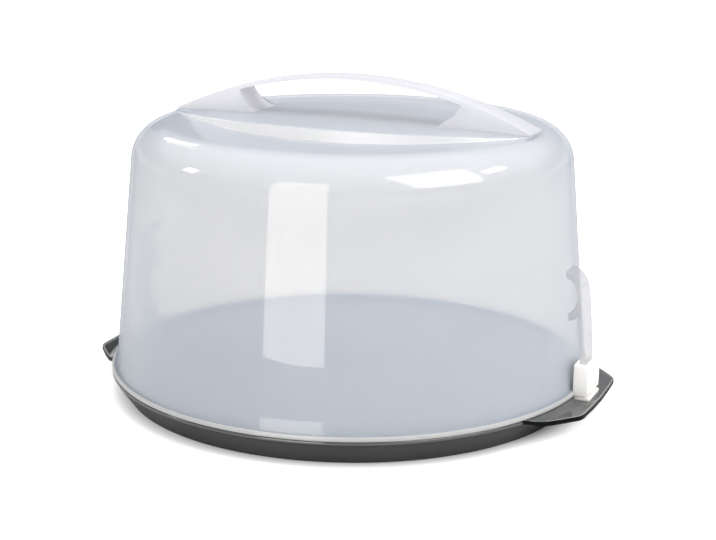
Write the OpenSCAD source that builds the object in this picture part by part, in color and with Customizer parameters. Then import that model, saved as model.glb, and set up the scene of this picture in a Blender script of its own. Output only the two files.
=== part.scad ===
// Round cake carrier with a hinged clear lid, closed.
// Units are millimetres. Origin is the centre of the tray's underside,
// +Z is up, the carry handle and both ears run along X, the front is -Y.

/* [View] */
// sub-part to show
// roundness of the turned shapes
facets = 120; // [48:8:200]

/* [Tray] */
// radius of the rim, from which the other radii and places follow
rim_r = 164.9; // [130:0.1:200]
// how far the tray's foot stands in from the rim
skirt_in = 10.7; // [4:0.1:20]
// height of the ledge that the lid stands on
ledge_z = 17; // [12:0.5:30]
// depth of the cake floor below the ledge
floor_drop = 1; // [0:0.1:3]
// wall of the tray
tray_wall = 2.2; // [1.5:0.1:4]
// number of raised portion lines
portions = 12; // [0:1:24]
// height of a portion line
line_h = 0.5; // [0.2:0.1:1.5]

/* [Ears] */
// reach of an ear past the rim at its middle
ear_out = 14.4; // [12:0.1:30]
// depth of an ear's top below the ledge
ear_drop = 3; // [2.5:0.1:6]
// thickness of an ear
ear_t = 2.6; // [2:0.1:5]
// height of the ear's raised edge
lip_h = 0.7; // [0:0.1:1]

/* [Lid] */
// how far the lid's foot flange stands out over the rim
flange_over = 0.1; // [0:0.1:2]
// height of the flange
flange_h = 3; // [1.5:0.1:6]
// how far the lid's wall stands in from the rim, 83 mm above the ledge
wall_in = 10.86; // [10:0.01:14]
// inward lean of the wall, in mm per mm
wall_lean = 0.092; // [0:0.001:0.2]
// height of the shoulder's crest above the ledge
lid_h = 167; // [120:0.5:220]
// radius of the shoulder
shoulder_r = 24.5; // [8:0.5:40]
// depth of the shallow dish inside the crest
dish = 3.6; // [0:0.1:8]
// wall of the lid
lid_wall = 2.2; // [1.4:0.1:4]

/* [Handle] */
// height of the raised lens over the crest
lens_h = 4.3; // [0:0.1:12]
// half width of the lens at its middle
pad_y = 66; // [40:0.5:90]
// how far the ends of the lens and handle stand in from the wall
tip_in = 26.04; // [20:0.01:50]
// height of the handle's top over the lens
arch_h = 27; // [20:0.1:50]
// height of the handle's ends over the lens
tip_h = 1.4; // [0.6:0.1:3]
// thickness of the handle's band
band_t = 2.9; // [2:0.1:6]
// half width of the band at its middle
band_y = 8; // [6:0.5:14]
// half width of the handle where it meets the lens
root_y = 20; // [14:0.5:28]

/* [Arms and hinges] */
// half width of an arm
arm_y = 8.5; // [5:0.5:10]
// half width of an arm socket
socket_y = 12; // [10.5:0.5:16]
// height of an arm socket's top over the ear
socket_h = 23.6; // [18:0.2:40]
// distance of the hinge pin past the rim
pin_out = 6.5; // [6:0.1:8]
// height of the hinge pin over the ear
pin_h = 6.2; // [6:0.1:8]
// radius of the hinge pin
pin_r = 1.2; // [0.8:0.1:1.6]
// radial clearance of the pin in the foot's knuckle
pin_gap = 0.05; // [0.02:0.01:0.1]

/* [Hidden] */
// size of this part beside the one it was drawn as
u = rim_r / 164.9;
foot_r = rim_r - skirt_in;
floor_z = ledge_z - floor_drop;
ear_x = rim_r + ear_out;
ear_z = ledge_z - ear_drop;
flange_r = rim_r + flange_over;
flange_top = ledge_z + flange_h;
wall_z = ledge_z + 83 * u;
wall_r = rim_r - wall_in;
crest_z = ledge_z + lid_h;
pad_z = crest_z + lens_h;
tip_x = wall_r - tip_in;
lens_fall = 3.6 * u;
arch_z = pad_z + arch_h;
arch_rise = arch_h + lens_fall - tip_h;
arch_r = (tip_x * tip_x + arch_rise * arch_rise) / (2 * arch_rise);
pin_x = rim_r + pin_out;
pin_z = ear_z + pin_h;
foot_top = ear_z + 2.3 * u;
socket_z = ear_z + socket_h;
socket_in = pin_x - 8.5 * u;
socket_out = pin_x + 2.8 * u;
neck = 1.9 * u;
foot_knuckle_y = 3.8 * u;
slot_y = foot_knuckle_y + 0.3;
pin_y = socket_y - 1.4 * u;
peg_x = pin_x - 4.4 * u;
peg_y = 7.5 * u;
peg_r = 1.6 * u;
pocket_z = ear_z + 10 * u;
big = 500 * u;
tray_grey = [0.22, 0.23, 0.23];
clear_lid = [0.88, 0.90, 0.93, 0.55];
hinge_white = [0.95, 0.95, 0.93];

// outer wall radius of the lid at height z
function wall(z) = wall_r - wall_lean * (z - wall_z);
// centre of the shoulder arc
sh_z = crest_z - shoulder_r;
sh_x = wall(sh_z) - shoulder_r * sqrt(1 + wall_lean * wall_lean);
// angle where the shoulder arc meets the wall
sh_a = atan(wall_lean);

// lid profile at inset o: wall, shoulder arc, then the shallow dish
function lid_side(o, z0) = concat(
    [[wall(z0) - o, z0]],
    [for (i = [0 : 9]) let (a = sh_a + (90 - sh_a) * i / 9)
        [sh_x + (shoulder_r - o) * cos(a), sh_z + (shoulder_r - o) * sin(a)]],
    [for (i = [1 : 8]) let (r = sh_x - (sh_x - 58 * u) * i / 8)
        [r, crest_z - o - dish / 2 + dish / 2 * cos(180 * i / 8)]],
    [[0, crest_z - o - dish]]);

// half width of the lens at x
function lens(x) = let (w = min(1, pow(abs(x) / tip_x, 2)))
    pad_y * pow(1 - w, 0.8) + 12.5 * u * w;
// height of the lens top at x, falling slightly to its tips
function lens_top(x) = pad_z - lens_fall * pow(x / tip_x, 2);
// height of the handle's top at x
function arch(x) = arch_z - arch_r + sqrt(arch_r * arch_r - x * x);
// underside of the band at x
function arch_low(x) = arch_z - arch_r + sqrt(pow(arch_r - band_t, 2) - x * x);
// half width of the handle's top edge at x
function top_y(x) = band_y + 4.5 * u * pow(abs(x) / tip_x, 2);
// half width of the handle's foot at x
function low_y(x) = root_y - 7.5 * u * pow(abs(x) / tip_x, 1.6);

// puts a shape drawn in X and Z upright, centred on Y, y wide
module upright(y)
    translate([0, y / 2, 0]) rotate([90, 0, 0]) linear_extrude(height = y) children();

// side +1 is the right ear, side -1 the left
module side(s) mirror([s < 0 ? 1 : 0, 0, 0]) children();

// outline of one ear, reaching in under the rim, moved in by o
module ear_outline(o) {
    ys = [0, 20, 40.7, 56.3, 66.7, 76];
    falls = [0, 0.4, 1.7, 12, 21.9, 33.5];
    pts = [for (i = [0 : 5]) [ear_x - falls[i] * u - o, ys[i] * u - (i > 1 ? o * 0.8 : 0)]];
    inner = ear_x - 39.3 * u;
    polygon(concat([for (i = [0 : 5]) pts[i]], [[inner, 60 * u]], [[inner, -60 * u]],
        [for (i = [5 : -1 : 1]) [pts[i][0], -pts[i][1]]]));
}

// one ear with its raised edge
module ear() {
    difference() {
        union() {
            translate([0, 0, ear_z - ear_t])
                linear_extrude(height = ear_t) ear_outline(0);
            translate([0, 0, ear_z - ear_t])
                linear_extrude(height = ear_t + lip_h) difference() {
                    ear_outline(0);
                    ear_outline(1.6 * u);
                }
        }
        cylinder(r = rim_r - 2.9 * u, h = big, center = true, $fn = facets);
        // bores for the two pegs of the hinge foot
        for (y = [-peg_y, peg_y])
            translate([peg_x, y, 0]) cylinder(r = peg_r + pin_gap, h = big, $fn = 32);
    }
}

// tray: raised cake floor on a leaning skirt, ledge and locating ring
module tray() color(tray_grey) {
    difference() {
        union() {
            rotate_extrude($fn = facets)
                polygon([[0, floor_z], [rim_r - 10.3 * u, floor_z], [rim_r - 9.7 * u, floor_z + 2.6 * u],
                    [rim_r - 9.3 * u, floor_z + 3 * u], [rim_r - 8 * u, floor_z + 3 * u],
                    [rim_r - 7.6 * u, floor_z + 2.6 * u], [rim_r - 7.2 * u, ledge_z],
                    [rim_r - 0.5 * u, ledge_z], [rim_r, ledge_z - 0.5 * u],
                    [rim_r, ledge_z - 2.2 * u], [rim_r - 1.6 * u, ledge_z - 4.6 * u],
                    [foot_r + 0.5 * u, 0.5 * u], [foot_r, 0], [foot_r - tray_wall - 0.2 * u, 0],
                    [foot_r - tray_wall - 0.2 * u, 0.6 * u], [rim_r - 2.4 * u - tray_wall, ledge_z - 4.6 * u],
                    [rim_r - 2.7 * u - tray_wall, floor_z - tray_wall], [0, floor_z - tray_wall]]);
            for (s = [-1, 1]) side(s) ear();
            if (portions > 0)
                for (i = [0 : portions - 1]) rotate([0, 0, i * 360 / portions])
                    translate([0, -0.6 * u, floor_z - 0.2 * u])
                        cube([rim_r - 14.9 * u, 1.2 * u, 0.2 * u + line_h]);
        }
        // seat for the hinge foot in each side of the rim
        for (s = [-1, 1]) side(s)
            translate([pin_x - 9.1 * u, -socket_y - 0.5, ear_z])
                cube([30 * u, 2 * socket_y + 1, big]);
    }
}

// foot of a hinge: plate, two pegs and the pin's knuckle
module hinge_foot() {
    difference() {
        union() {
            upright(2 * socket_y) polygon([[pin_x - 8.2 * u, ear_z], [socket_out, ear_z],
                [socket_out, foot_top - 0.8 * u], [socket_out - 0.8 * u, foot_top],
                [pin_x - 8.2 * u, foot_top]]);
            for (y = [-peg_y, peg_y])
                translate([peg_x, y, ear_z - ear_t]) cylinder(r = peg_r, h = ear_t + 0.5 * u, $fn = 32);
            translate([pin_x, 0, pin_z]) rotate([90, 0, 0])
                cylinder(r = 2.8 * u, h = 2 * foot_knuckle_y, center = true, $fn = 48);
            translate([pin_x - neck, -foot_knuckle_y, ear_z + 0.5 * u])
                cube([2 * neck, 2 * foot_knuckle_y, pin_h - 0.5 * u]);
        }
        translate([pin_x, 0, pin_z]) rotate([90, 0, 0])
            cylinder(r = pin_r + pin_gap, h = big, center = true, $fn = 48);
    }
}

// hinge pin, its ends tight in the socket
module hinge_pin()
    translate([pin_x, 0, pin_z]) rotate([90, 0, 0])
        cylinder(r = pin_r, h = 2 * pin_y, center = true, $fn = 48);

// socket that holds the arm's end, turning on the pin
module arm_socket() {
    difference() {
        union() {
            translate([socket_in, -socket_y, foot_top + 0.3])
                cube([pin_x - socket_in, 2 * socket_y, socket_z - foot_top - 0.3]);
            translate([pin_x - u, -socket_y, pin_z])
                cube([socket_out - pin_x + u, 2 * socket_y, socket_z - pin_z]);
            translate([pin_x, 0, pin_z]) rotate([90, 0, 0])
                cylinder(r = 2.8 * u, h = 2 * socket_y, center = true, $fn = 48);
        }
        // pocket for the arm
        translate([pin_x - 7 * u, -arm_y - 0.25, pocket_z]) cube([5.6 * u, 2 * arm_y + 0.5, big]);
        // slot that clears the foot's knuckle and its neck while the socket turns
        translate([pin_x, 0, pin_z]) rotate([90, 0, 0])
            cylinder(r = 3.05 * u, h = 2 * slot_y, center = true, $fn = 48);
        translate([pin_x - 3.05 * u, -slot_y, pin_z - 10 * u]) cube([20 * u, 2 * slot_y, 10 * u]);
        translate([pin_x, -slot_y, pin_z - 10 * u]) cube([20 * u, 2 * slot_y, 13.2 * u]);
        // bore for the pin, blind at both ends
        translate([pin_x, 0, pin_z]) rotate([90, 0, 0])
            cylinder(r = pin_r, h = 2 * pin_y, center = true, $fn = 48);
        // rounded front and back outer corners
        for (m = [0, 1]) mirror([0, m, 0])
            translate([socket_out - 2.5 * u, socket_y - 2.5 * u, 0]) difference() {
                cube([5 * u, 5 * u, big]);
                cylinder(r = 2.5 * u, h = 2 * big, center = true, $fn = 48);
            }
    }
}

// points drawn from the pin and the ear, as [in from the pin, over the ear]
function from_pin(pts) = [for (p = pts) [pin_x - p[0] * u, ear_z + p[1] * u]];

// arm in side view: strap, then the closed finger loop on the lid's wall
module arm_side() {
    difference() {
        polygon(from_pin([[6.2, 10], [1.7, 10], [1.4, 24], [3, 48],
            [4.2, 62], [5, 69], [6.3, 74.5], [8.4, 79], [11.2, 82.3],
            [14.6, 84.2], [21.4, 84.8], [21.4, 51.4], [16.2, 51.8], [12.8, 52.2],
            [10, 53.5], [8, 55.4], [7.1, 40.5], [6, 26]]));
        polygon(from_pin([[21.4, 80.6], [16.4, 80], [13.4, 78.4], [11.2, 75.6], [9.9, 72],
            [9.5, 68.4], [9.7, 64.6], [10.8, 61], [12.8, 57.9], [15.4, 56],
            [21.4, 55.2]]));
    }
}

// solid the lid's wall would fill, used to trim what lies on it
module lid_solid()
    rotate_extrude($fn = facets) polygon(concat(lid_side(0, ear_z - 4 * u), [[0, ear_z - 4 * u]]));

// arm of the lid
module lid_arm()
    difference() {
        upright(2 * arm_y) arm_side();
        lid_solid();
    }

// lens outline in plan at inset o
module lens_plan(o) {
    n = 16;
    xt = tip_x - o;
    polygon(concat(
        [for (i = [-n : n]) let (x = xt * sin(90 * i / n)) [x, lens(x * tip_x / xt) - o]],
        [for (i = [n : -1 : -n]) let (x = xt * sin(90 * i / n)) [x, -lens(x * tip_x / xt) + o]]));
}

// side view from low inside the lid up to the lens top, lowered by o
module under_lens(o) {
    n = 12;
    xe = tip_x + 22 * u;
    polygon(concat([[-xe, wall_z]],
        [for (i = [-n : n]) [i * xe / n, lens_top(i * xe / n) - o]], [[xe, wall_z]]));
}

// part of the handle's body at inset o: a drafted arch on its two feet
module handle_body(o, x0, x1, n) {
    xs = [for (i = [0 : n]) x0 + (x1 - x0) * i / n];
    pts = [for (x = xs) each let (zt = arch(x) - o, zb = crest_z - 8 * u, hb = low_y(x) - o * 1.1,
            ht = max(0.6, top_y(x) - o * 1.1), k = (hb - ht) / max(1, arch(x) - lens_top(x)),
            hz = hb + k * (lens_top(x) - zb))
        [[x, -hz, zb], [x, hz, zb], [x, ht, zt], [x, -ht, zt]]];
    polyhedron(pts, concat([[0, 1, 2, 3]], [[4 * n + 3, 4 * n + 2, 4 * n + 1, 4 * n]],
        [for (i = [0 : n - 1]) each let (a = 4 * i) [
            for (j = [0 : 3]) [a + j, a + 4 + j, a + 4 + (j + 1) % 4, a + (j + 1) % 4]]]));
}

// side view of the hand gap, its lower corners swept out to the arch
module hand_gap() {
    g0 = tip_x - 62 * u;
    g1 = tip_x - 54 * u;
    g2 = tip_x - 48 * u;
    z0 = lens_top(g0);
    sweep = [for (i = [0 : 6]) let (t = i / 6, a = (1 - t) * (1 - t), b = 2 * t * (1 - t), c = t * t)
        [g0 * a + g1 * b + g2 * c, z0 * a + (z0 + 0.4 * u) * b + arch_low(g2) * c]];
    polygon(concat([[-g0, wall_z], [g0, wall_z]], sweep,
        [for (i = [7 : -1 : -7]) let (x = i * g2 / 8) [x, arch_low(x)]],
        [for (i = [6 : -1 : 0]) [-sweep[i][0], sweep[i][1]]]));
}

// hollow of one handle foot, open to the inside of the lid
module foot_hollow(s)
    intersection() {
        side(s) handle_body(lid_wall, tip_x - 58 * u, tip_x - 6 * u, 6);
        upright(big) polygon([[s * (tip_x - 56.5 * u), crest_z - 14 * u],
            [s * (tip_x - 56.5 * u), crest_z + 0.5 * u], [s * (tip_x - 41.5 * u), crest_z + 20 * u],
            [s * (tip_x + 2 * u), crest_z + 20 * u], [s * (tip_x + 2 * u), crest_z - 14 * u]]);
    }

// carry handle
module carry_handle() color(clear_lid)
    difference() {
        handle_body(0, -tip_x, tip_x, 32);
        upright(big) hand_gap();
        upright(big) under_lens(0);
        for (s = [-1, 1]) foot_hollow(s);
    }

// lid shell: foot flange, leaning wall, shoulder, dish and raised lens
module dome_shell() color(clear_lid)
    difference() {
        union() {
            rotate_extrude($fn = facets) polygon(concat(
                [[wall_r - 14 * u, ledge_z + 0.2 * u]], [[rim_r - 6 * u, ledge_z],
                [flange_r - 0.5 * u, ledge_z], [flange_r, ledge_z + 0.5 * u],
                [flange_r, flange_top - 0.7 * u], [flange_r - 0.7 * u, flange_top]],
                lid_side(0, flange_top), [[0, wall_z], [wall_r - 14 * u, wall_z]]));
            intersection() {
                translate([0, 0, crest_z - 14 * u]) linear_extrude(height = 30 * u) lens_plan(0);
                upright(big) under_lens(0);
            }
        }
        rotate_extrude($fn = facets) polygon(concat(
            [[0, ear_z - 4 * u]], [[wall(ear_z - 4 * u) - lid_wall, ear_z - 4 * u]],
            lid_side(lid_wall, flange_top)));
        intersection() {
            translate([0, 0, crest_z - 14 * u]) linear_extrude(height = 30 * u) lens_plan(lid_wall);
            upright(big) under_lens(lid_wall);
        }
        for (s = [-1, 1]) foot_hollow(s);
        // gaps in the flange that let the sockets stand close to the wall
        for (s = [-1, 1]) side(s) difference() {
            translate([rim_r - 14.9 * u, -socket_y - 0.6, 0])
                cube([40 * u, 2 * socket_y + 1.2, flange_top + u]);
            rotate_extrude($fn = facets) polygon([[0, 0], [wall(ledge_z) + 0.1, 0],
                [wall(ledge_z) + 0.1, ledge_z], [wall(flange_top), flange_top],
                [wall(flange_top + 2 * u), flange_top + 2 * u], [0, flange_top + 2 * u]]);
        }
    }

module hinge_foot_right() color(hinge_white) hinge_foot();
module hinge_foot_left() color(hinge_white) side(-1) hinge_foot();
module hinge_pin_right() color([0.75, 0.75, 0.76]) hinge_pin();
module hinge_pin_left() color([0.75, 0.75, 0.76]) side(-1) hinge_pin();
module arm_socket_right() color(hinge_white) arm_socket();
module arm_socket_left() color(hinge_white) side(-1) arm_socket();
module lid_arm_right() color(clear_lid) lid_arm();
module lid_arm_left() color(clear_lid) side(-1) lid_arm();

tray();
hinge_foot_right();
hinge_foot_left();
hinge_pin_right();
hinge_pin_left();
arm_socket_right();
arm_socket_left();
dome_shell();
carry_handle();
lid_arm_right();
lid_arm_left();
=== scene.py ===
# Looks of the cake carrier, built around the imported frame. Metres, +Z up, front towards -Y.
import math

import bmesh
import bpy
import numpy as np
from mathutils import Matrix, Vector


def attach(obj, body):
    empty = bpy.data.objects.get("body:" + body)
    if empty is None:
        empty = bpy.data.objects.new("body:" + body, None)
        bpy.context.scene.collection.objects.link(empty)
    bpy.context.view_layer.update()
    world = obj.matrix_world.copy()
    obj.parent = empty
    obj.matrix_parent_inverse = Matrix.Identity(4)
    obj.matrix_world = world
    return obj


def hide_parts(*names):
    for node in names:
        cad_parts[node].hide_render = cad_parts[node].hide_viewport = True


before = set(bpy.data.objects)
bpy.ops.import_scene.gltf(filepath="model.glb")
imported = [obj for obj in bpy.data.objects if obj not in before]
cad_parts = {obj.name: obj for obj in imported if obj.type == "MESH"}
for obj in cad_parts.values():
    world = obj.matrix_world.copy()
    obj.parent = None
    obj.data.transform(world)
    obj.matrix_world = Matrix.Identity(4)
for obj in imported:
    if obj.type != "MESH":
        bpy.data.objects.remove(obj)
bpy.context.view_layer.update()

# Sizes of the carrier, in metres, as the part has them
MM = 0.001
RIM_R = 0.1649  # outer radius of the tray's rim
LEDGE_Z = 0.017  # ledge that carries the lid
FLOOR_Z = 0.016  # cake floor
EAR_Z = 0.014  # top face of the ears
EAR_T = 0.0026  # thickness of the ears
FLANGE_R = 0.165  # outer radius of the lid's flange
FLANGE_TOP = 0.020
WALL_R = 0.15404  # outer radius of the lid's wall at WALL_Z
WALL_Z = 0.100
WALL_LEAN = 0.092  # how far the wall leans in for each metre of height
LID_WALL = 0.0022  # thickness of the lid
CREST_Z = 0.184  # highest ring of the shoulder
SHOULDER_R = 0.0245  # radius of the shoulder's round
DISH = 0.0036  # depth of the dish inside the crest
DISH_R = 0.058  # radius inside which the dish is level
LENS_Z = 0.1883  # top of the raised lens in the middle
LENS_FALL = 0.0036  # drop from there to the lens's tips
LENS_Y = 0.066  # half width of the lens
TIP_X = 0.128  # half length of the lens and of the handle
TIP_Y = 0.0125  # half width of the lens at its blunt tips
LENS_BLUNT = 0.8  # power that shapes the lens's oval
ARCH_Z = 0.2153  # top of the handle
ARCH_R = 0.295  # radius of the handle's arc
BAND_T = 0.0029  # thickness of the handle's band
TOP_Y = 0.008  # half width of the handle's top in the middle
TOP_GAIN = 0.0045  # what it gains from there to the tips
ROOT_Y = 0.020  # half width of the handle's root in the middle
ROOT_LOSS = 0.0075  # what it loses from there to the tips
ROOT_BEND = 1.6  # power that shapes the root
PIN_X = 0.1714  # distance of the hinge pins from the middle
ARM_Y = 0.0085  # half width of the arms
SEAT_R = 0.1632  # radius at which the sockets stand beside the flange
SEAT_Y = 0.0125  # half width of the socket's seat in the tray
GAP_Y = 0.0126  # half width of the gap for the socket in the flange


def wall(z):
    """Outer radius of the lid's wall at height z: a straight line that leans inwards."""
    return WALL_R - WALL_LEAN * (z - WALL_Z)


SHOULDER_Z = CREST_Z - SHOULDER_R
SHOULDER_X = wall(SHOULDER_Z) - SHOULDER_R * math.sqrt(1 + WALL_LEAN**2)


def lens_half_width(x):
    """Half width of the raised lens at x: the middle's width times a power of one minus the
    square of x against the tip, and the tip's blunt width times that square."""
    w = np.minimum(1, (x / TIP_X) ** 2)
    return LENS_Y * (1 - w) ** LENS_BLUNT + TIP_Y * w


def lens_top(x):
    """Height of the lens at x: highest in the middle, a parabola down to its tips."""
    return LENS_Z - LENS_FALL * (x / TIP_X) ** 2


def arch(x):
    """Height of the handle's top at x: a circle arc."""
    return ARCH_Z - ARCH_R + np.sqrt(ARCH_R**2 - x * x)


def arch_low(x):
    """Height of the band's underside at x: the same arc, a band's thickness smaller."""
    return ARCH_Z - ARCH_R + np.sqrt((ARCH_R - BAND_T) ** 2 - x * x)


def top_half(x):
    """Half width of the handle's top at x: it grows with the square of x."""
    return TOP_Y + TOP_GAIN * (x / TIP_X) ** 2


def root_half(x):
    """Half width of the handle where it meets the lens, at x: it shrinks with a power of x."""
    return ROOT_Y - ROOT_LOSS * np.abs(x / TIP_X) ** ROOT_BEND


def flank(x, z):
    """Half width of the handle at x and z: straight from the lens up to the top edge."""
    low = lens_top(x)
    share = (z - low) / np.maximum(MM, arch(x) - low)
    return root_half(x) + (top_half(x) - root_half(x)) * share


# Making meshes

MERGE = 1e-6  # points this close count as one
SKIN_MERGE = 2e-5  # and in the turned skins of lid and tray


def mesh_object(name, verts, faces):
    """A smooth mesh object at the origin from an array of points and a list of faces."""
    mesh = bpy.data.meshes.new(name)
    mesh.from_pydata(np.asarray(verts).tolist(), [], faces)
    mesh.update()
    mesh.polygons.foreach_set("use_smooth", [True] * len(mesh.polygons))
    obj = bpy.data.objects.new(name, mesh)
    bpy.context.scene.collection.objects.link(obj)
    return obj


def grid_faces(rows, cols, wrap_cols=True, wrap_rows=False, first=0):
    """Quads between neighbouring rows and columns of a grid of points, from index first."""
    i = np.arange(rows if wrap_rows else rows - 1)
    j = np.arange(cols if wrap_cols else cols - 1)
    i, j = np.meshgrid(i, j, indexing="ij")
    i2 = (i + 1) % rows
    j2 = (j + 1) % cols
    quads = np.stack([i * cols + j, i * cols + j2, i2 * cols + j2, i2 * cols + j], -1)
    return (quads.reshape(-1, 4) + first).tolist()


def clean(obj, merge=MERGE):
    """Merges points that coincide, drops faces with no area and turns the faces outwards."""
    bm = bmesh.new()
    bm.from_mesh(obj.data)
    bmesh.ops.remove_doubles(bm, verts=bm.verts, dist=merge)
    bmesh.ops.dissolve_degenerate(bm, dist=merge, edges=bm.edges)
    bmesh.ops.recalc_face_normals(bm, faces=bm.faces)
    bm.to_mesh(obj.data)
    bm.free()
    obj.data.update()
    return obj


def sharpen(obj, degrees):
    """Smooth shading with creases kept where faces meet at more than this angle."""
    bpy.context.view_layer.objects.active = obj
    obj.select_set(True)
    bpy.ops.object.shade_smooth_by_angle(angle=math.radians(degrees), keep_sharp_edges=True)
    obj.select_set(False)
    return obj


def join(name, objs):
    """One object out of several."""
    for other in bpy.context.selected_objects:
        other.select_set(False)
    for obj in objs:
        obj.select_set(True)
    bpy.context.view_layer.objects.active = objs[0]
    bpy.ops.object.join()
    objs[0].name = name
    objs[0].data.name = name
    objs[0].select_set(False)
    return objs[0]


# Camera, from the perspective of the photographed ellipses and edges
AZIMUTH = math.radians(23.086)
ELEVATION = math.radians(14.7796)
ROLL = math.radians(0.600)
DISTANCE = 1.06861
FOCAL_PX = 1551.2
PICTURE_PX = 716
SENSOR_MM = 36
AIM_Z = 0.080169
AIM_RIGHT = 0.004281
back = Vector(
    (
        math.sin(AZIMUTH) * math.cos(ELEVATION),
        -math.cos(AZIMUTH) * math.cos(ELEVATION),
        math.sin(ELEVATION),
    )
)
right = Vector((math.cos(AZIMUTH), math.sin(AZIMUTH), 0))
up = back.cross(right)
target = Vector((0, 0, AIM_Z)) + right * AIM_RIGHT
cam_right = right * math.cos(ROLL) + up * math.sin(ROLL)
cam_up = -right * math.sin(ROLL) + up * math.cos(ROLL)
cam_data = bpy.data.cameras.new("photo_camera")
cam_data.sensor_width = SENSOR_MM
cam_data.lens = FOCAL_PX / PICTURE_PX * SENSOR_MM
cam = bpy.data.objects.new("photo_camera", cam_data)
bpy.context.scene.collection.objects.link(cam)
turn = Matrix((cam_right, cam_up, back)).transposed().to_4x4()
cam.matrix_world = Matrix.Translation(target + back * DISTANCE) @ turn
bpy.context.scene.camera = cam

# Materials


def new_material(name):
    """An empty node material, its tree and its output."""
    mat = bpy.data.materials.new(name)
    mat.use_nodes = True
    tree = mat.node_tree
    tree.nodes.clear()
    out = tree.nodes.new("ShaderNodeOutputMaterial")
    return mat, tree, out


def add(tree, kind, **values):
    """A node with its values set. A name in small letters is a setting of the node, and one
    with a capital is an input."""
    node = tree.nodes.new(kind)
    for key, value in values.items():
        if hasattr(node, key) and not key[0].isupper():
            setattr(node, key, value)
        else:
            node.inputs[key.replace("_", " ")].default_value = value
    return node


def ramp(tree, fac, low, high, at=(0.3, 0.7)):
    """A colour ramp between two colours."""
    node = tree.nodes.new("ShaderNodeValToRGB")
    node.color_ramp.elements[0].position = at[0]
    node.color_ramp.elements[1].position = at[1]
    node.color_ramp.elements[0].color = (*low, 1)
    node.color_ramp.elements[1].color = (*high, 1)
    tree.links.new(fac, node.inputs["Fac"])
    return node


def noise_at(tree, scale, detail=4.0, rough=0.55):
    """Noise on object coordinates."""
    coords = tree.nodes.new("ShaderNodeTexCoord")
    node = add(tree, "ShaderNodeTexNoise", Scale=scale, Detail=detail, Roughness=rough)
    tree.links.new(coords.outputs["Object"], node.inputs["Vector"])
    return node


def bump_from(tree, height, strength, distance):
    """A bump node fed by a height."""
    node = add(tree, "ShaderNodeBump", Strength=strength, Distance=distance)
    tree.links.new(height, node.inputs["Height"])
    return node


def grey(v):
    """The linear value of an sRGB grey from 0 to 255."""
    c = v / 255
    return c / 12.92 if c <= 0.04045 else ((c + 0.055) / 1.055) ** 2.4


def rgb(r, g, b):
    """Linear colour of an sRGB triple from 0 to 255."""
    return (grey(r), grey(g), grey(b))


DRIFT_SCALE = 14.0  # clouds of the faint colour drift in moulded pieces
SKIN_DEPTH = 0.0001  # height of the skin texture
SPREAD = 0.3  # share of the light that spreads inside white plastic


def moulded(
    name,
    low,
    high,
    rough=(0.2, 0.3),
    grain=900.0,
    bump=0.04,
    spec=0.5,
    round_edge=0.0,
    depth=0.0,
    metal=0.0,
):
    """Moulded plastic or metal: colour that drifts from low to high, fine grain in the gloss
    and in a shallow skin texture, edges that catch the light as if rounded, and light that
    spreads inside to a depth."""
    mat, tree, out = new_material(name)
    shader = add(tree, "ShaderNodeBsdfPrincipled")
    shader.inputs["Specular IOR Level"].default_value = spec
    shader.inputs["Metallic"].default_value = metal
    if depth:
        shader.inputs["Subsurface Weight"].default_value = SPREAD
        shader.inputs["Subsurface Radius"].default_value = (1, 1, 1)
        shader.inputs["Subsurface Scale"].default_value = depth
    drift = noise_at(tree, DRIFT_SCALE, 3.0)
    colour = ramp(tree, drift.outputs["Fac"], low, high)
    tree.links.new(colour.outputs["Color"], shader.inputs["Base Color"])
    fine = noise_at(tree, grain, 2.0)
    gloss = add(tree, "ShaderNodeMapRange", To_Min=rough[0], To_Max=rough[1])
    tree.links.new(fine.outputs["Fac"], gloss.inputs["Value"])
    tree.links.new(gloss.outputs["Result"], shader.inputs["Roughness"])
    skin = bump_from(tree, fine.outputs["Fac"], bump, SKIN_DEPTH)
    if round_edge:
        soft = add(tree, "ShaderNodeBevel", Radius=round_edge)
        tree.links.new(soft.outputs["Normal"], skin.inputs["Normal"])
    tree.links.new(skin.outputs["Normal"], shader.inputs["Normal"])
    tree.links.new(shader.outputs["BSDF"], out.inputs["Surface"])
    return mat


def curve_of(tree, fac, points):
    """A grey value that follows a list of (position, value) points."""
    node = tree.nodes.new("ShaderNodeValToRGB")
    stops = node.color_ramp.elements
    for place, value in points[1:-1]:
        stops.new(place)
    for stop, (place, value) in zip(stops, points):
        stop.position = place
        stop.color = (value, value, value, 1)
    tree.links.new(fac, node.inputs["Fac"])
    return node.outputs["Color"]


# How much passes straight through the wall, and how much its skin mirrors, from seen
# square on at 0 to edge on at 1
THROUGH = (
    (0.0, 0.985),
    (0.5, 0.955),
    (0.72, 0.90),
    (0.80, 0.82),
    (0.88, 0.62),
    (0.95, 0.36),
    (1.0, 0.2),
)
MIRROR = ((0.0, 0.045), (0.45, 0.07), (0.6, 0.14), (0.84, 0.21), (0.93, 0.19), (1.0, 0.15))
BACK_SHARE = 0.4  # share of the scattered light that comes from behind
CLOUD_SCALE = 9.0  # clouds in the milkiness
CLOUD_SHADE = 0.97  # colour between the clouds, against the full tint
RIPPLE_SCALE = 35.0  # waves in the skin, as mouldings have
RIPPLE = 0.04
RIPPLE_DEPTH = 0.0004
DENSE_PAINTED_LIGHT = (0.93, 0.93, 0.92)  # where the plastic stands in the white socket: painted light against the shade of the socket's pocket
DENSE_LIT_FADE = 0.003


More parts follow.
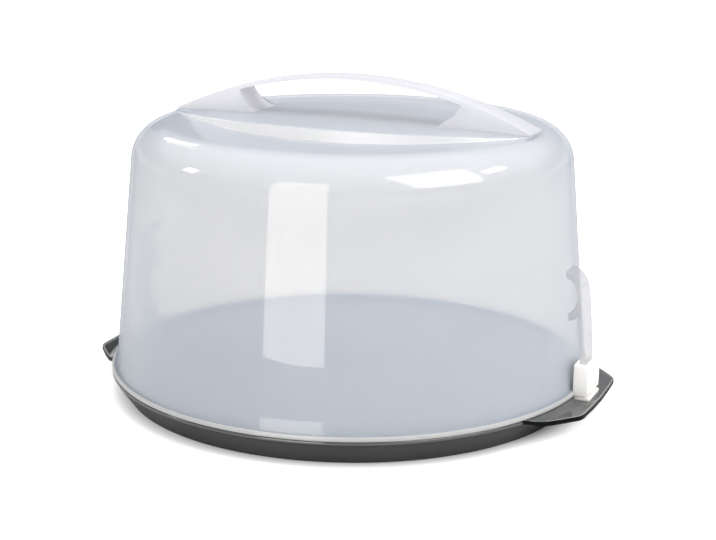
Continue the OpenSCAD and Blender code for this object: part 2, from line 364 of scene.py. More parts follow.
def milky(name, haze, tint, rough=0.02, passing=(1.0, 0.985, 0.962), dense_lit_below=0.0):
    """Clear milky plastic. Part of the light scatters, by the haze. The rest goes straight
    through in the passing colour, less at a slant, where its way in the wall is longer. The
    skin mirrors more the flatter it is seen. Below a height it can be dense, and pale with painted
    light against the shade there."""
    mat, tree, out = new_material(name)
    link = tree.links.new
    front = add(tree, "ShaderNodeBsdfPrincipled", Roughness=0.6)
    front.inputs["Specular IOR Level"].default_value = 0.0
    through = tree.nodes.new("ShaderNodeBsdfTranslucent")
    body = add(tree, "ShaderNodeMixShader", Fac=BACK_SHARE)
    link(front.outputs["BSDF"], body.inputs[1])
    link(through.outputs["BSDF"], body.inputs[2])
    drift = noise_at(tree, CLOUD_SCALE, 3.0)
    low = tuple(c * CLOUD_SHADE for c in tint)
    colour = ramp(tree, drift.outputs["Fac"], low, tint)
    link(colour.outputs["Color"], front.inputs["Base Color"])
    link(colour.outputs["Color"], through.inputs["Color"])
    slant = add(tree, "ShaderNodeLayerWeight", Blend=0.5)
    passed = add(tree, "ShaderNodeMix", data_type="RGBA", blend_type="MULTIPLY")
    passed.inputs[0].default_value = 1.0
    passed.inputs[7].default_value = (*passing, 1)
    link(curve_of(tree, slant.outputs["Facing"], THROUGH), passed.inputs[6])
    clear = add(tree, "ShaderNodeBsdfTransparent")
    link(passed.outputs[2], clear.inputs["Color"])
    cloud = add(tree, "ShaderNodeMapRange", To_Min=haze[0], To_Max=haze[1])
    link(drift.outputs["Fac"], cloud.inputs["Value"])
    share = cloud.outputs["Result"]
    if dense_lit_below:
        coords = tree.nodes.new("ShaderNodeTexCoord")
        split = tree.nodes.new("ShaderNodeSeparateXYZ")
        link(coords.outputs["Object"], split.inputs["Vector"])
        foot = add(tree, "ShaderNodeMapRange", To_Min=1.0, To_Max=0.0)
        foot.inputs["From Min"].default_value = dense_lit_below
        foot.inputs["From Max"].default_value = dense_lit_below + DENSE_LIT_FADE
        link(split.outputs["Z"], foot.inputs["Value"])
        most = add(tree, "ShaderNodeMath", operation="MAXIMUM")
        link(share, most.inputs[0])
        link(foot.outputs["Result"], most.inputs[1])
        share = most.outputs["Value"]
        # painted light: the socket's pocket would shade this part grey
        painted_pale = add(tree, "ShaderNodeMix", data_type="RGBA")
        painted_pale.inputs[7].default_value = (*DENSE_PAINTED_LIGHT, 1)
        link(foot.outputs["Result"], painted_pale.inputs[0])
        link(colour.outputs["Color"], painted_pale.inputs[6])
        link(painted_pale.outputs[2], front.inputs["Base Color"])
    inside = add(tree, "ShaderNodeMixShader")
    link(share, inside.inputs["Fac"])
    link(clear.outputs["BSDF"], inside.inputs[1])
    link(body.outputs["Shader"], inside.inputs[2])
    skin = add(tree, "ShaderNodeBsdfGlossy", Roughness=rough)
    ripple = noise_at(tree, RIPPLE_SCALE, 1.0)
    wave = bump_from(tree, ripple.outputs["Fac"], RIPPLE, RIPPLE_DEPTH)
    link(wave.outputs["Normal"], skin.inputs["Normal"])
    mix = add(tree, "ShaderNodeMixShader")
    link(curve_of(tree, slant.outputs["Facing"], MIRROR), mix.inputs["Fac"])
    link(inside.outputs["Shader"], mix.inputs[1])
    link(skin.outputs["BSDF"], mix.inputs[2])
    link(mix.outputs["Shader"], out.inputs["Surface"])
    return mat


FINE = 1600.0  # grain of the tray's skin
# Near black, darker than the tray's plastic: painted shade in the groove under the rim, on the
# sole and on the ears' edges and undersides
SHADE_EDGE_MAT = moulded(
    "tray_edge_painted_shade", rgb(9, 9, 9), rgb(13, 13, 13), rough=(0.4, 0.5), grain=FINE, spec=0.06
)
# Lighter grey than the tray's plastic: a painted highlight along the ears' raised lip
LIP_HIGHLIGHT_MAT = moulded(
    "tray_lip_painted_highlight", rgb(110, 110, 110), rgb(122, 122, 122), rough=(0.2, 0.3), grain=FINE
)
SKIRT_MAT = moulded(
    "tray_grey_skirt", rgb(60, 60, 59), rgb(68, 68, 67), rough=(0.5, 0.6), grain=FINE, spec=0.15
)
TRAY_MAT = moulded(
    "tray_dark_grey", rgb(62, 63, 64), rgb(70, 71, 72), rough=(0.05, 0.09), grain=FINE, spec=0.85
)
HINGE_MAT = moulded(
    "hinge_white",
    rgb(254, 251, 243),
    rgb(255, 252, 246),
    rough=(0.30, 0.38),
    round_edge=0.0012,
    depth=0.006,
)
PIN_MAT = moulded(
    "pin_steel", rgb(196, 196, 198), rgb(208, 208, 210), rough=(0.25, 0.32), bump=0.03, metal=1.0
)
LID_MAT = milky(
    "lid_milky_clear", haze=(0.40, 0.45), tint=rgb(222, 232, 247), passing=(1.0, 0.945, 0.86)
)
GRIP_MAT = milky("lid_milky_grip", haze=(0.70, 0.78), tint=rgb(225, 225, 230))
ARM_MAT = milky("lid_milky_arm", haze=(0.45, 0.52), tint=rgb(188, 190, 197), dense_lit_below=0.036)
# Paler and more milky than the lid: a painted highlight on the lens's steep edge
STEP_HIGHLIGHT_MAT = milky("lid_milky_step_painted_highlight", haze=(0.62, 0.68), tint=rgb(240, 241, 244), rough=0.25)
BEAD_MAT = milky("lid_milky_bead", haze=(0.75, 0.80), tint=rgb(226, 226, 224), rough=0.15)


def dress(obj, mat):
    """Puts one material on an object."""
    if obj.data.materials:
        for place in obj.material_slots:
            place.link = "OBJECT"
            place.material = mat
    else:
        obj.data.materials.append(mat)
    return obj


for node in ("hinge_foot_right", "hinge_foot_left", "arm_socket_right", "arm_socket_left"):
    dress(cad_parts[node], HINGE_MAT)
for node in ("hinge_pin_right", "hinge_pin_left"):
    dress(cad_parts[node], PIN_MAT)

# Lid: flange, wall, shoulder, dish and raised lens in one turned skin

COLUMNS = 480
PLAIN = np.arange(COLUMNS) * 2 * math.pi / COLUMNS
GAP_ANGLE = math.asin(GAP_Y / SEAT_R)
BESIDE = 0.0008  # the turn from a gap's edge to the columns on both its sides, in radians
SIDES = [(base, s, d) for base in (0, math.pi) for s in (-1, 1) for d in (-BESIDE, BESIDE)]
EXTRA = np.array([s * GAP_ANGLE + d + base for base, s, d in SIDES])
ANGLES = np.sort(np.concatenate([PLAIN, EXTRA % (2 * math.pi)]))


def at_sockets(half):
    """True for the columns that lie within half a width of the right or left socket."""
    return (np.abs(np.sin(ANGLES)) * SEAT_R < half) & (np.abs(np.cos(ANGLES)) > 0.9)


SEARCH_R = 0.2  # a radius outside the lens at every angle
HALVINGS = 40


def oval_radius(angles, inset):
    """Distance from the middle to the lens outline along each angle, moved in by inset,
    found by halving."""
    low = np.zeros_like(angles)
    high = np.full_like(angles, SEARCH_R)
    for _ in range(HALVINGS):
        mid = (low + high) / 2
        x = np.abs(mid * np.cos(angles)) * TIP_X / (TIP_X - inset)
        y = np.abs(mid * np.sin(angles))
        inside = (x <= TIP_X) & (y <= lens_half_width(x) - inset)
        low = np.where(inside, mid, low)
        high = np.where(inside, high, mid)
    return low


def dish_z(r, inset):
    """Height of the shallow dish at radius r: half a cosine wave from the crest to the middle."""
    t = np.clip((SHOULDER_X - r) / (SHOULDER_X - DISH_R), 0, 1)
    return CREST_Z - inset - DISH / 2 + DISH / 2 * np.cos(math.pi * t)


LENS_ROWS = 14
DISH_ROWS = 12
LENS_FLAT_END = 0.0010  # distance from the lens's outline to where its top is still plain
LENS_ROUND = ((-0.0004, 0.05), (0.0, 0.2), (0.0002, 0.5), (0.0004, 0.8), (0.0008, 0.95))
LENS_FOOT = 0.0014  # distance from the outline to where the round ends in the dish


def top_rows(inset):
    """Rows of points from the middle of the lens to the start of the shoulder. The lens is
    flat across and falls to its tips; a small round leads down its edge to the dish."""
    c, s = np.cos(ANGLES), np.sin(ANGLES)
    rim = oval_radius(ANGLES, inset)
    rows = []
    for t in np.linspace(0, 1, LENS_ROWS) ** 0.8:
        r = (rim - LENS_FLAT_END) * t
        rows.append((r * c, r * s, lens_top(r * c) - inset))
    foot = dish_z(rim, inset)
    head = lens_top(rim * c) - inset
    for out, share in LENS_ROUND:
        r = rim + out
        rows.append((r * c, r * s, head - (head - foot) * share))
    for t in np.linspace(0, 1, DISH_ROWS):
        r = (rim + LENS_FOOT) * (1 - t) + SHOULDER_X * t
        rows.append((r * c, r * s, dish_z(r, inset)))
    return [np.stack(row, -1) for row in rows]


def turned_row(r, z):
    """One row round the lid at radius r, which may differ from angle to angle."""
    r = np.broadcast_to(r, ANGLES.shape)
    return np.stack([r * np.cos(ANGLES), r * np.sin(ANGLES), np.full_like(ANGLES, z)], -1)


SHOULDER_ROWS = 19
WALL_ROWS = 16


def side_rows(inset, z_low):
    """Rows down the shoulder arc and the leaning wall to height z_low."""
    rows = []
    start = math.atan(WALL_LEAN)
    for a in np.linspace(math.pi / 2, start, SHOULDER_ROWS)[1:]:
        r = SHOULDER_X + (SHOULDER_R - inset) * math.cos(a)
        rows.append(turned_row(r, SHOULDER_Z + (SHOULDER_R - inset) * math.sin(a)))
    top = SHOULDER_Z + (SHOULDER_R - inset) * math.sin(start)
    for z in np.linspace(top, z_low, WALL_ROWS)[1:]:
        rows.append(turned_row(wall(z) - inset, z))
    return rows


FLANGE_FOOT_R = 0.1600  # inner end of the flange's flat underside
BEAD = 0.0013  # width of the flange's rounded bead
STEP_DROP = 0.006  # how far below the crest the lens's edge can lie
STEEP = 0.7  # upward part of a face's direction, below which it counts as the lens's edge


def lid_shell():
    """Outer skin from the lens down to the flange, the flange's rounded edge, then the inner
    skin back up. The flange stops short where the sockets stand."""
    rows = top_rows(0) + side_rows(0, FLANGE_TOP + 0.0008)
    open_here = at_sockets(GAP_Y)
    flange = [
        (wall(FLANGE_TOP) + 0.0003, FLANGE_TOP + 0.0002),
        (wall(FLANGE_TOP) + 0.0010, FLANGE_TOP),
        (FLANGE_R - 0.0012, FLANGE_TOP - 0.0001),
        (FLANGE_R - 0.0004, FLANGE_TOP - 0.0005),
        (FLANGE_R, FLANGE_TOP - 0.0013),
        (FLANGE_R - 0.0001, LEDGE_Z + 0.0006),
        (FLANGE_R - 0.0006, LEDGE_Z + 0.0001),
        (FLANGE_R - 0.0012, LEDGE_Z),
    ]
    for r, z in flange:
        rows.append(turned_row(np.where(open_here, np.minimum(r, wall(z)), r), z))
    rows.append(turned_row(FLANGE_FOOT_R, LEDGE_Z))
    rows.append(turned_row(wall(LEDGE_Z) - LID_WALL, LEDGE_Z))
    inner = top_rows(LID_WALL) + side_rows(LID_WALL, FLANGE_TOP)
    rows += inner[::-1]
    obj = mesh_object("lid_shell", np.concatenate(rows), grid_faces(len(rows), len(ANGLES)))
    for mat in (LID_MAT, BEAD_MAT, STEP_HIGHLIGHT_MAT):
        obj.data.materials.append(mat)
    clean(obj, SKIN_MERGE)
    for face in obj.data.polygons:
        x, y, z = face.center
        r = math.hypot(x, y)
        if z < FLANGE_TOP and r > FLANGE_R - BEAD:
            face.material_index = 1
        # the lens's steep edge takes the painted highlight
        elif z > CREST_Z - STEP_DROP and abs(face.normal.z) < STEEP and r < SHOULDER_X:
            face.material_index = 2
    return sharpen(obj, 35)


# Handle: a rounded band that widens into two feet

GAP_X0 = TIP_X - 0.062  # end of the hand gap on the lens
GAP_X1 = TIP_X - 0.054  # its belly
GAP_X2 = TIP_X - 0.048  # its end under the arch
SWEEP_X = 0.006  # length of the handle's top that belongs to the swept end
CROWN = 0.0003  # how far the handle's top falls towards its edges
EDGE_ROUND = 0.0011  # radius of the handle's top edges
EDGE_MOST = 0.35  # and at most this share of the height there
BELLY_LIFT = 0.0004


def gap_sweep(t):
    """Point on the swept end of the hand gap: a quadratic curve from the lens to the arch."""
    a, b, c = (1 - t) ** 2, 2 * t * (1 - t), t * t
    z0 = lens_top(GAP_X0)
    x = GAP_X0 * a + GAP_X1 * b + GAP_X2 * c
    return x, z0 * a + (z0 + BELLY_LIFT) * b + arch_low(GAP_X2) * c


def handle_outline():
    """Pairs of points in the side view, the handle's top and the point under it on the hand
    gap, along the band, down the swept end and then along the lens to the tip."""
    band = np.linspace(0, GAP_X2, 26)
    pairs = [(x, arch(x), x, arch_low(x)) for x in band]
    for t in np.linspace(1, 0, 14)[1:]:
        x, z = gap_sweep(t)
        xt = GAP_X2 + (1 - t) * SWEEP_X
        pairs.append((xt, arch(xt), x, z))
    for s in np.linspace(0, 1, 18)[1:]:
        xt = GAP_X2 + SWEEP_X + s * (TIP_X - GAP_X2 - SWEEP_X)
        xb = GAP_X0 + s * (TIP_X - GAP_X0)
        pairs.append((xt, arch(xt), xb, lens_top(xb)))
    return pairs


def handle():
    """Closed loops round the handle, one for each pair of the outline: across the top, round
    its edge along a quarter circle, down the straight flank, and back under."""
    pairs = handle_outline()
    pairs = [(-a, b, -c, d) for a, b, c, d in pairs[:0:-1]] + pairs
    loops = []
    for xt, zt, xb, zb in pairs:
        half = top_half(xt)
        low_half = flank(xb, zb)
        edge = min(EDGE_ROUND, (zt - zb) * EDGE_MOST)
        side = []
        for v in (0, 0.35, 0.65, 0.85):
            side.append((xt, half * v * (1 - edge / half), zt - CROWN * v * v))
        for a in np.radians((0, 25, 50, 75)):
            y = half - edge + edge * math.sin(a)
            side.append((xt, y, zt - CROWN - edge * (1 - math.cos(a))))
        z_a = zt - CROWN - edge
        y_a = half + (low_half - half) * 0.04
        for v in (0, 0.25, 0.5, 0.75, 0.93):
            side.append((xt + (xb - xt) * v, y_a + (low_half - y_a) * v, z_a + (zb - z_a) * v))
        side.append((xb, low_half - 0.0002, zb))
        side.append((xb, low_half * 0.5, zb))
        side = np.array(side)
        other = side[::-1] * (1, -1, 1)
        loops.append(np.concatenate([side, other[:-1]]))
    rows, cols = len(loops), len(loops[0])
    ends = [list(range(cols))[::-1], [(rows - 1) * cols + k for k in range(cols)]]
    obj = mesh_object("lid_handle", np.concatenate(loops), grid_faces(rows, cols) + ends)
    return sharpen(clean(obj), 40)


# Arms: strap and finger loop in one flat moulding with rounded edges

ARM_BITE = 0.0006  # how deep the arm's ends go into the lid's wall
ARM_EDGE = 0.0007  # round of the arm's long edges


def arm_outline():
    """Outline of the arm in side view, outer edge, finger loop and inner edge, in millimetres
    in from the pin and over the ear."""
    outer = np.array(
        [(6.2, 10), (1.7, 10), (1.4, 24), (3, 48), (4.2, 62), (5, 69), (6.3, 74.5), (8.4, 79)]
        + [(11.2, 82.3), (14.6, 84.2), (18.3, 84.8)]
    )
    inner = np.array([(16.6, 51.8), (12.8, 52.2), (10, 53.5), (8, 55.4), (7.1, 40.5), (6, 26)])
    hole = np.array(
        [(18.0, 80.4), (16.4, 80), (13.4, 78.4), (11.2, 75.6), (9.9, 72), (9.5, 68.4), (9.7, 64.6)]
        + [(10.8, 61), (12.8, 57.9), (15.4, 56), (17.4, 55.5)]
    )
    return outer, inner, hole


def arm(name, s):
    """The side view pushed out to the arm's width, with its long edges rounded."""
    outer, inner, hole = arm_outline()
    ring = np.concatenate([outer, hole, inner])
    z = EAR_Z + ring[:, 1] * MM
    x = np.maximum(PIN_X - ring[:, 0] * MM, wall(z) - ARM_BITE) * s
    n = len(ring)
    verts = np.concatenate([np.stack([x, np.full(n, y), z], -1) for y in (-ARM_Y, ARM_Y)])
    faces = [list(range(n)), list(range(2 * n - 1, n - 1, -1))]
    faces += [[i, (i + 1) % n, n + (i + 1) % n, n + i] for i in range(n)]
    obj = mesh_object(name, verts, faces)
    clean(obj)
    bevel = obj.modifiers.new("rounded edges", "BEVEL")
    bevel.width = ARM_EDGE
    bevel.segments = 3
    bevel.limit_method = "ANGLE"
    bevel.angle_limit = math.radians(40)
    return sharpen(obj, 45)


# Tray: raised floor, ledge, leaning skirt, ears and portion lines

RIM_SEAT_R = 0.1623  # from here out the rim is cut down to the ears beside the sockets
GROOVE_Z = (0.0141, 0.0150)  # the groove under the rounded rim, painted near black as shade
GROOVE_R = 0.1634
SOLE_Z = 0.0004  # below this the foot ring meets the table; painted near black there as shade


def tray_body():
    """Turned profile of the tray with its corners rounded, from the middle of the floor out
    over the ring and the ledge, down the skirt and back under, in millimetres."""
    profile = np.array(
        [(0, 16), (154.3, 16), (154.6, 16.2), (155.1, 18.4), (155.35, 18.85), (155.8, 19)]
        + [(156.8, 19), (157.2, 18.8), (157.5, 18.3), (157.75, 17.2), (158.0, 17), (163.6, 17)]
        + [(164.2, 16.9), (164.6, 16.65), (164.83, 16.25), (164.9, 15.8), (164.9, 15.2)]
        + [(164.8, 14.9), (164.5, 14.7), (163.9, 14.6), (163.6, 14.2), (163.4, 12.6)]
        + [(154.8, 0.7), (154.55, 0.2), (154.1, 0), (152.0, 0), (151.8, 0.2), (151.8, 0.6)]
        + [(160.3, 12.4), (160.0, 13.8), (0, 13.8)]
    )
    rows = []
    for r, z in profile * MM:
        row = turned_row(r, z)
        if r > RIM_SEAT_R and z > EAR_Z:
            row[:, 2] = np.where(at_sockets(SEAT_Y), EAR_Z, z)
        rows.append(row)
    obj = mesh_object("tray_body", np.concatenate(rows), grid_faces(len(rows), len(ANGLES)))
    for mat in (TRAY_MAT, SKIRT_MAT, SHADE_EDGE_MAT):
        obj.data.materials.append(mat)
    clean(obj, SKIN_MERGE)
    for face in obj.data.polygons:
        x, y, z = face.center
        groove = GROOVE_Z[0] < z < GROOVE_Z[1] and math.hypot(x, y) > GROOVE_R
        # the groove and the sole take the painted shade
        face.material_index = 2 if groove or z < SOLE_Z else int(z < EAR_Z)
    return sharpen(obj, 30)


EAR_ROOT_R = 0.1628  # radius where the ear starts inside the tray
EAR_STEPS = 160
LIP_IN = 0.0021  # inner foot of the ear's raised edge, in from its outline
SWEEP_RISE = 0.0026  # how far the ear sweeps up at the rim
SWEEP_REACH = 0.0035  # how fast the sweep dies away outwards
SWEEP_Y = 0.0135  # where it starts beside the socket's seat
SWEEP_FADE = 0.004
UPRIGHT = 0.35  # upward part of a face's direction, below which it counts as an edge
LIP_RISE = 0.0002  # height over the ear from which a face belongs to its raised edge
LIP_START = 0.006  # distance from the rim where the lip's painted highlight starts
LIP_FACE = 1e-6  # the narrow faces of the raised edge are smaller than this, in square metres
UNDER = 0.4  # share of the ear's thickness below which a face belongs to its underside


def ear(s):
    """Plan outline of one ear, straight lines through its corners, and at each point of it a
    cross-section: top face, raised edge, outer edge and underside. Beside the socket's seat
    the ear sweeps up to the rim as a bell curve of the distance from it."""
    half = np.array([(179.3, 0), (178.9, 20), (177.9, 37.5), (177.3, 40.2), (175.8, 43.2)])
    half = np.concatenate([half, [(166.6, 54.2), (156.9, 64.4), (146.0, 74.6)]]) * MM
    outline = np.concatenate([half[:0:-1] * (1, -1), half])
    step = np.concatenate([[0], np.cumsum(np.linalg.norm(np.diff(outline, axis=0), axis=1))])
    even = np.union1d(np.linspace(0, step[-1], EAR_STEPS), step)
    edge = np.stack([np.interp(even, step, outline[:, k]) for k in (0, 1)], -1)
    along = np.gradient(edge, even, axis=0)
    along /= np.linalg.norm(along, axis=1, keepdims=True)
    out = np.stack([along[:, 1], -along[:, 0]], -1)
    reach = np.linalg.norm(edge, axis=1, keepdims=True)
    root = edge / reach * EAR_ROOT_R
    shares = np.linspace(0, 1, 16)[:-1] ** 1.5
    broad = [root * (1 - t) + (edge - out * LIP_IN) * t for t in shares]
    section = [(LIP_IN, 0), (0.0017, 0.0001), (0.0014, 0.0006), (0.0011, 0.0007), (0.0004, 0.0007)]
    section += [(0.0001, 0.0006), (0, 0.0003), (0, -0.0021), (0.0002, -0.0025), (0.0006, -EAR_T)]
    cols = len(edge)
    rows = [np.column_stack([line, np.full(cols, EAR_Z)]) for line in broad]
    for inset, rise in section:
        rows.append(np.column_stack([edge - out * inset, np.full(cols, EAR_Z + rise)]))
    rows.append(np.column_stack([root, np.full(cols, EAR_Z - EAR_T)]))
    verts = np.concatenate(rows)
    beyond = np.maximum(0, np.hypot(verts[:, 0], verts[:, 1]) - RIM_R)
    beside = np.clip((np.abs(verts[:, 1]) - SWEEP_Y) / SWEEP_FADE, 0, 1)
    verts[:, 2] += SWEEP_RISE * np.exp(-((beyond / SWEEP_REACH) ** 2)) * beside
    verts[:, 0] *= s
    faces = grid_faces(len(rows), cols, wrap_cols=False, wrap_rows=True)
    starts = [k * cols for k in range(len(rows))]
    faces += [starts, [k + cols - 1 for k in starts]]
    obj = mesh_object("tray_ear", verts, faces)
    for mat in (TRAY_MAT, SHADE_EDGE_MAT, LIP_HIGHLIGHT_MAT):
        obj.data.materials.append(mat)
    clean(obj)
    for face in obj.data.polygons:
        x, y, z = face.center
        outside = math.hypot(x, y) > RIM_R + LIP_START
        # the ears' edges and undersides take the painted shade
        if abs(face.normal.z) < UPRIGHT or z < EAR_Z - EAR_T * UNDER:
            face.material_index = 1
        # the lip's narrow faces out from the rim take the painted highlight
        elif z > EAR_Z + LIP_RISE and face.area < LIP_FACE and outside:
            face.material_index = 2
    return sharpen(obj, 30)


PORTIONS = 12
LINE_SINK = 0.0002  # how deep a line's outer end lies under the floor
LINE_RUN = ((0.001, 1.0), (0.146, 1.0), (0.149, 0.5), (0.150, 0.0))


def portion_lines():
    """Low rounded ridges from the middle of the floor towards the locating ring: one half
    round section in millimetres, at the radii and with the heights of the run, turned."""
    section = [(-0.7, -0.3), (-0.55, 0.3), (-0.3, 0.48), (0, 0.5)]
    section += [(0.3, 0.48), (0.55, 0.3), (0.7, -0.3)]
    y, rise = np.array(section).T * MM
    cols = len(section)
    verts, faces = [], []
    for i in range(PORTIONS):
        a = i * 2 * math.pi / PORTIONS
        for r, high in LINE_RUN:
            z = FLOOR_Z + rise * high - (1 - high) * LINE_SINK
            x_turned = r * math.cos(a) - y * math.sin(a)
            y_turned = r * math.sin(a) + y * math.cos(a)
            verts.append(np.stack([x_turned, y_turned, z], -1))
        first = i * cols * len(LINE_RUN)
        last = first + cols * (len(LINE_RUN) - 1)
        faces += grid_faces(len(LINE_RUN), cols, first=first)
        faces += [list(range(first, first + cols)), list(range(last, last + cols))[::-1]]
    obj = mesh_object("tray_lines", np.concatenate(verts), faces)
    obj.data.materials.append(TRAY_MAT)
    return sharpen(clean(obj, MERGE / 10), 50)


LID = [lid_shell(), handle(), arm("lid_arm_right_form", 1), arm("lid_arm_left_form", -1)]
LID_NODES = ["dome_shell", "carry_handle", "lid_arm_right", "lid_arm_left"]
for piece, mat in zip(LID[1:], (GRIP_MAT, ARM_MAT, ARM_MAT)):
    dress(piece, mat)
for piece, node in zip(LID, LID_NODES):
    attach(piece, "lid")
    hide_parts(node)
# The real arms leave no dark smudge on the wall beside them
for piece in LID[2:]:
    piece.visible_diffuse = False
    piece.visible_shadow = False
    piece.visible_glossy = False
tray = join("tray_moulding", [tray_body(), ear(1), ear(-1), portion_lines()])
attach(tray, "base")
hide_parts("tray")

# Floor and light

TABLE_HALF = 6.0
TABLE_Z = -0.0002  # just under the foot ring
TABLE_GREY = 0.62
GLOSS_LIFT = 0.1  # share of the table's white that shows in gloss
PAINTED_SHADOW_LIFT = 0.12  # white added to the table under the carrier, kept low there as a painted contact shadow
FAR_LIFT = 0.66  # white added where the table is open, also whitening the real shadow there
LIFT_FROM = 0.155  # distance from the middle where the painted shadow's low white ends
LIFT_TO = 0.171  # and where the far white starts


def plane(name, size, z):
    """A square sheet lying at height z, in four by four faces."""
    t = np.linspace(-size, size, 5)
    x, y = np.meshgrid(t, t, indexing="ij")
    verts = np.stack([x, y, np.full_like(x, z)], -1).reshape(-1, 3)
    return mesh_object(name, verts, grid_faces(5, 5, wrap_cols=False))


def seen_fac(tree):
    """1 for rays from the camera or through clear walls, a share of it in gloss, else 0."""
    path = tree.nodes.new("ShaderNodeLightPath")
    gloss = add(tree, "ShaderNodeMath", operation="MULTIPLY")
    tree.links.new(path.outputs["Is Glossy Ray"], gloss.inputs[0])
    gloss.inputs[1].default_value = GLOSS_LIFT
    first = add(tree, "ShaderNodeMath", operation="MAXIMUM")
    tree.links.new(path.outputs["Is Camera Ray"], first.inputs[0])
    tree.links.new(gloss.outputs["Value"], first.inputs[1])
    second = add(tree, "ShaderNodeMath", operation="MAXIMUM")
    tree.links.new(first.outputs["Value"], second.inputs[0])
    tree.links.new(path.outputs["Is Transmission Ray"], second.inputs[1])
    return second.outputs["Value"]


def floor_material():
    """Pale table that reads as white where it is open. Its added white is low in a ring round the
    carrier's foot, a painted contact shadow over the real one, and whitens the real shadow farther
    out.
    """
    mat, tree, out = new_material("pale_table_painted_shadow")
    shader = add(tree, "ShaderNodeBsdfDiffuse")
    shader.inputs["Color"].default_value = (TABLE_GREY, TABLE_GREY, TABLE_GREY, 1)
    lift = add(tree, "ShaderNodeEmission")
    scale = add(tree, "ShaderNodeMath", operation="MULTIPLY")
    coords = tree.nodes.new("ShaderNodeTexCoord")
    far = add(tree, "ShaderNodeVectorMath", operation="LENGTH")
    tree.links.new(coords.outputs["Object"], far.inputs[0])
    reach = add(tree, "ShaderNodeMapRange", From_Min=LIFT_FROM, From_Max=LIFT_TO)
    reach.inputs["To Min"].default_value = PAINTED_SHADOW_LIFT
    reach.inputs["To Max"].default_value = FAR_LIFT
    tree.links.new(far.outputs["Value"], reach.inputs["Value"])
    tree.links.new(reach.outputs["Result"], scale.inputs[1])
    tree.links.new(seen_fac(tree), scale.inputs[0])
    tree.links.new(scale.outputs["Value"], lift.inputs["Strength"])
    both = tree.nodes.new("ShaderNodeAddShader")
    tree.links.new(shader.outputs["BSDF"], both.inputs[0])
    tree.links.new(lift.outputs["Emission"], both.inputs[1])
    tree.links.new(both.outputs["Shader"], out.inputs["Surface"])
    return mat


floor = plane("table", TABLE_HALF, TABLE_Z)
dress(floor, floor_material())


def softbox(name, place, at, width, height, power, colour=(1, 1, 1)):
    """A rectangular soft lamp facing a point."""
    data = bpy.data.lights.new(name, "AREA")
    data.shape = "RECTANGLE"
    data.size = width
    data.size_y = height
    data.energy = power
    data.color = colour
    obj = bpy.data.objects.new(name, data)
    obj.location = place
    obj.rotation_euler = (Vector(at) - Vector(place)).to_track_quat("-Z", "Y").to_euler()
    bpy.context.scene.collection.objects.link(obj)
    return obj


def from_view(angle, distance, height):
    """A place at an angle to the right of the camera's direction, seen from the carrier."""
    a = AZIMUTH + math.radians(angle)
    return (math.sin(a) * distance, -math.cos(a) * distance, height)


def card(name, place, at, width, height, glow, colour=(1, 1, 1)):
    """A soft window that is mirrored in gloss, but isn't seen itself and lights nothing dull."""
    power = glow * math.pi * width * height
    obj = softbox(name, place, at, width, height, power, colour)
    obj.visible_diffuse = False
    obj.visible_camera = False
    obj.visible_transmission = False
    return obj


def light_only(lamp, objs):
    """Lets a lamp reach only these objects."""
    group = bpy.data.collections.new(lamp.name + "_reach")
    for obj in objs:
        group.objects.link(obj)
    lamp.light_linking.receiver_collection = group


RAISED_FROM = 0.1  # height from which a raised place's elevation is counted


def raised(angle, distance, elevation):
    """A place at an angle to the right of the camera's direction and at an elevation."""
    e = math.radians(elevation)
    return from_view(angle, distance * math.cos(e), RAISED_FROM + distance * math.sin(e))


# The windows are mirrored in the lid: a tall one in its wall, and the others on its shoulder
WARM = (1.0, 0.96, 0.91)
TALL_TURN = -23.2
TALL_Z = 0.27
SHOULDER_AT = (0, 0, 0.15)
tall_window = card(
    "window_front_left",
    from_view(TALL_TURN, 0.585, TALL_Z),
    from_view(TALL_TURN, 0.1, TALL_Z),
    width=0.266,
    height=0.54,
    glow=3.4,
    colour=WARM,
)
light_only(tall_window, [LID[0], tray])
card("window_front_right", raised(49, 1.0, 42), SHOULDER_AT, 0.62, 0.62, 4.5)
card("window_left", raised(-88, 1.0, 25), SHOULDER_AT, 0.13, 0.14, 9.0)
card("window_back_left", raised(-150, 1.0, 32), SHOULDER_AT, 0.08, 0.20, 9.0)

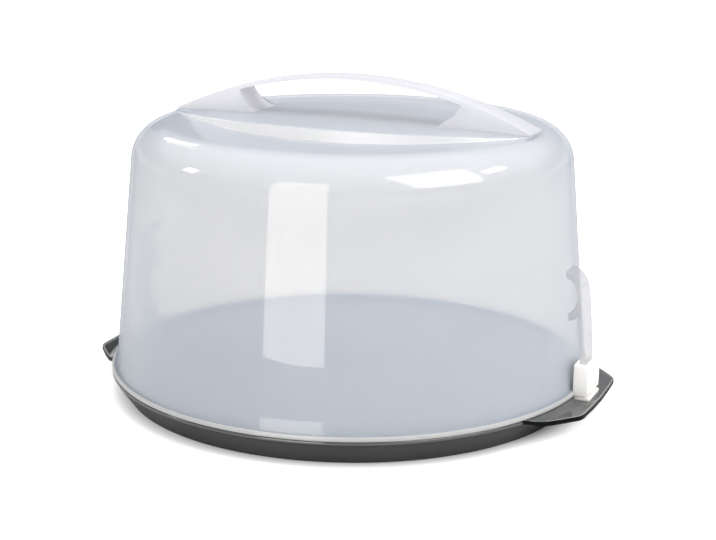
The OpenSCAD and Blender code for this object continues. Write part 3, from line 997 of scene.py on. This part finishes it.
# A dark screen behind the carrier is mirrored in the left ear's top face
SCREEN_HALF = (0.14, 0.10)
SCREEN_PLACE = (189.2, 1.2, 0.374)  # its turn, distance and height, seen from the ear
flag = plane("dark_screen", 1.0, 0.0)
flag.data.transform(Matrix.Diagonal((*SCREEN_HALF, 1, 1)))
left_ear = Vector((-0.17, -0.03, EAR_Z))
spot = left_ear + Vector(from_view(*SCREEN_PLACE))
aim = (left_ear - spot).to_track_quat("Z", "Y").to_matrix().to_4x4()
flag.data.transform(Matrix.Translation(spot) @ aim)
dress(flag, SHADE_EDGE_MAT)
flag.visible_camera = False
flag.visible_diffuse = False
flag.visible_shadow = False
flag.visible_transmission = False

card("window_right", raised(86, 1.0, 40), SHOULDER_AT, 0.24, 0.13, 9.0)

MIDDLE = (0, 0, 0.1)
for lamp in (
    softbox("soft_left", from_view(-50, 1.6, 1.0), MIDDLE, 1.2, 1.0, 15),
    softbox("soft_right", from_view(60, 1.7, 1.1), MIDDLE, 1.0, 1.0, 21),
    softbox("soft_top", (0.1, 0.3, 1.7), MIDDLE, 1.6, 1.6, 25),
):
    lamp.visible_camera = False
    lamp.visible_glossy = False


SKY_GAP = (0.46, 0.455, 0.475)
SKY_TOP = (0.85, 0.86, 0.88)
SKY_LIGHT = 1.0
WHITE_TO = 0.085  # upward part of the direction up to which the sky is white
GAP_FROM = 0.12
GAP_TO = 0.34
TOP_FROM = 0.40


def sky(tree):
    """White near the horizon like a lit backdrop, a grey band above it and a pale ceiling."""
    coords = tree.nodes.new("ShaderNodeTexCoord")
    split = tree.nodes.new("ShaderNodeSeparateXYZ")
    tree.links.new(coords.outputs["Generated"], split.inputs["Vector"])
    colour = ramp(tree, split.outputs["Z"], (1, 1, 1), SKY_GAP, (WHITE_TO, GAP_FROM))
    for place, shade in ((GAP_TO, SKY_GAP), (TOP_FROM, SKY_TOP)):
        stop = colour.color_ramp.elements.new(place)
        stop.color = (*shade, 1)
    level = add(tree, "ShaderNodeBackground", Strength=SKY_LIGHT)
    tree.links.new(colour.outputs["Color"], level.inputs["Color"])
    out = tree.nodes["World Output"]
    tree.links.new(level.outputs["Background"], out.inputs["Surface"])


world = bpy.data.worlds.new("studio")
bpy.context.scene.world = world
world.use_nodes = True
sky(world.node_tree)

bpy.context.scene.view_settings.view_transform = "Standard"
